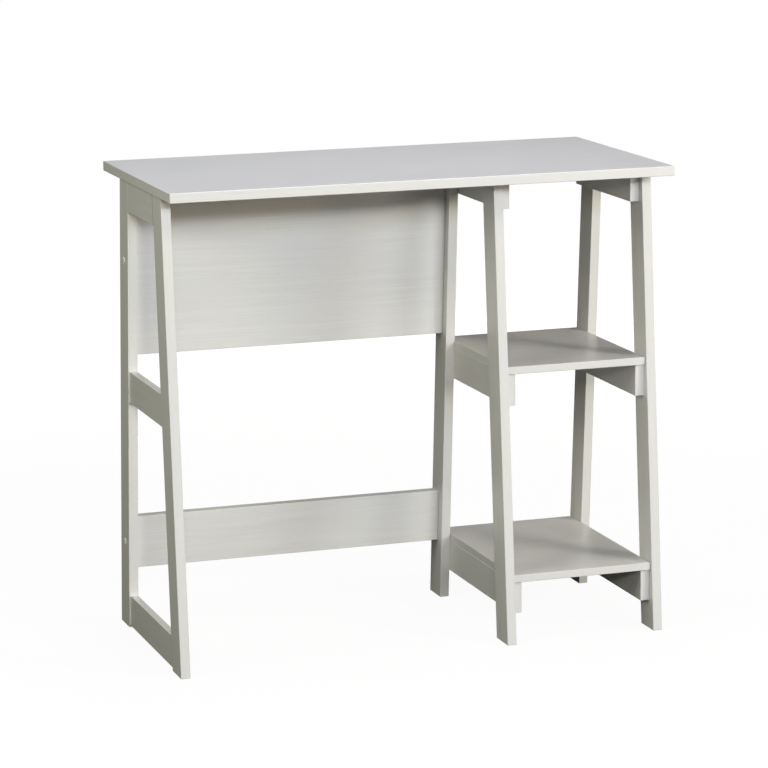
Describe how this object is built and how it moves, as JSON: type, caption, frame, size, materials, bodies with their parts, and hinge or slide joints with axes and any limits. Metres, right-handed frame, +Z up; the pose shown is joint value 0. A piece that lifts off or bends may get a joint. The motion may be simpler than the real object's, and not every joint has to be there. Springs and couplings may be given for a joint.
{
  "type": "desk with shelves",
  "caption": "Writing desk with slanted plank legs, a kneehole with a modesty panel and back stretcher on the left, and open shelves on the right.",
  "frame": {"origin": "on the floor, under the middle of the top", "axes": "+X to the user's right along the top's long side, +Y from the front to the rear, +Z up"},
  "size_m": [0.8, 0.4, 0.74],
  "materials": {
    "white_woodgrain": "white wood-grain laminate on board, satin",
    "beech_dowel": "fluted beech, bare",
    "zinc_steel": "zinc-plated steel",
    "white_cap": "moulded plastic, matt"
  },
  "bodies": {
    "root": {"desk_top": "white_woodgrain", "left_front_leg": "white_woodgrain", "left_rear_leg": "white_woodgrain", "middle_front_leg": "white_woodgrain", "middle_rear_leg": "white_woodgrain", "right_front_leg": "white_woodgrain", "right_rear_leg": "white_woodgrain", "left_top_rail": "white_woodgrain", "left_middle_rail": "white_woodgrain", "left_bottom_rail": "white_woodgrain", "middle_top_rail": "white_woodgrain", "middle_upper_shelf_rail": "white_woodgrain", "middle_lower_shelf_rail": "white_woodgrain", "right_top_rail": "white_woodgrain", "right_upper_shelf_rail": "white_woodgrain", "right_lower_shelf_rail": "white_woodgrain", "modesty_panel": "white_woodgrain", "back_stretcher": "white_woodgrain", "upper_shelf": "white_woodgrain", "lower_shelf": "white_woodgrain", "butt_dowels": "beech_dowel", "lap_dowels": "beech_dowel", "panel_dowels": "beech_dowel", "connector_screws": "zinc_steel", "rail_screws": "zinc_steel", "screw_caps": "white_cap"}
  },
  "joints": []
}
